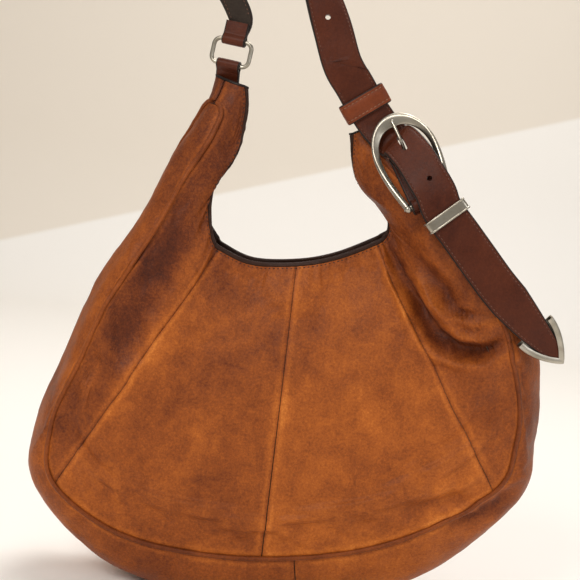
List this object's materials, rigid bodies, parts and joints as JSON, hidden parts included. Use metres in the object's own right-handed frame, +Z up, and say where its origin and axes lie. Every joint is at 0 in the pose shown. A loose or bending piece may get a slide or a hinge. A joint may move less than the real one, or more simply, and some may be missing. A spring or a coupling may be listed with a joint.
{
  "type": "hobo shoulder bag",
  "caption": "Large crescent-shaped leather hobo bag with piped gusset, ring-hung shoulder strap and western-style buckle.",
  "frame": {"origin": "middle of the flattened base, on the ground", "axes": "+X to the right as the front is faced, -Y is the front, +Z up through the opening to the strap"},
  "size_m": [0.4276, 0.137, 0.5937],
  "materials": {
    "bag_leather": "distressed pull-up cognac leather, soft sheen",
    "piping_leather": "cognac leather, worn",
    "edge_leather": "dark bound edge",
    "strap_leather": "satin dark chocolate leather with painted edges",
    "keeper_leather": "satin reddish brown leather",
    "nickel": "antique satin nickel plate",
    "zip_metal": "antique brass",
    "lining_cloth": "woven cotton twill"
  },
  "bodies": {
    "bag": {"front_panel_outer_left": "bag_leather", "front_panel_left": "bag_leather", "front_panel_right": "bag_leather", "front_panel_outer_right": "bag_leather", "back_panel_outer_left": "bag_leather", "back_panel_left": "bag_leather", "back_panel_right": "bag_leather", "back_panel_outer_right": "bag_leather", "gusset_left": "bag_leather", "gusset_right": "bag_leather", "piping_front": "piping_leather", "piping_back": "piping_leather", "binding_front": "edge_leather", "binding_back": "edge_leather", "horn_trim_left": "edge_leather", "horn_trim_right": "edge_leather", "lining": "lining_cloth", "ring_tab": "strap_leather", "strap_tail": "strap_leather", "buckle_chape": "strap_leather", "strap_tip": "nickel", "snap_socket": "nickel", "snap_stud": "nickel", "pocket_patch": "lining_cloth", "zip_tape": "lining_cloth", "zip_teeth": "zip_metal"},
    "ring": {"strap_ring": "nickel"},
    "arch": {"strap_arch": "strap_leather"},
    "keeper": {"leather_keeper": "keeper_leather"},
    "end_keeper": {"metal_keeper": "nickel"},
    "buckle": {"buckle_frame": "nickel"},
    "prong": {"buckle_prong": "nickel"},
    "slider": {"zip_slider": "zip_metal"},
    "pull": {"zip_pull": "zip_metal"}
  },
  "joints": [
    {"name": "ring_pivot", "type": "hinge", "parent": "bag", "child": "ring", "pos_m": [-0.07143, -0.006, 0.44315], "axis": [0.967, -0.2256, -0.1182], "range_deg": [-10, 10]},
    {"name": "strap_swing", "type": "hinge", "parent": "ring", "child": "arch", "pos_m": [-0.069, -0.006, 0.463], "axis": [0.967, -0.2256, -0.1182], "range_deg": [-50, 50]},
    {"name": "buckle_tilt", "type": "hinge", "parent": "bag", "child": "buckle", "pos_m": [0.099, -0.064, 0.352], "axis": [0.8678, 0, 0.497], "range_deg": [0, 3]},
    {"name": "prong_lift", "type": "hinge", "parent": "buckle", "child": "prong", "pos_m": [0.099, -0.064, 0.352], "axis": [0.8678, 0, 0.497], "range_deg": [0, 1.5]},
    {"name": "leather_keeper_slide", "type": "slide", "parent": "bag", "child": "keeper", "axis": [-0.5983, -0.0748, 0.7978], "range_m": [0, 0.014]},
    {"name": "metal_keeper_slide", "type": "slide", "parent": "bag", "child": "end_keeper", "axis": [0.6719, -0.0737, -0.7369], "range_m": [0, 0.02]},
    {"name": "zip_slide", "type": "slide", "parent": "bag", "child": "slider", "axis": [1, 0, 0], "range_m": [0, 0.12]},
    {"name": "zip_pull_swing", "type": "hinge", "parent": "slider", "child": "pull", "pos_m": [-0.061, 0.0358, 0.1984], "axis": [1, 0, 0], "range_deg": [-80, 0]}
  ]
}
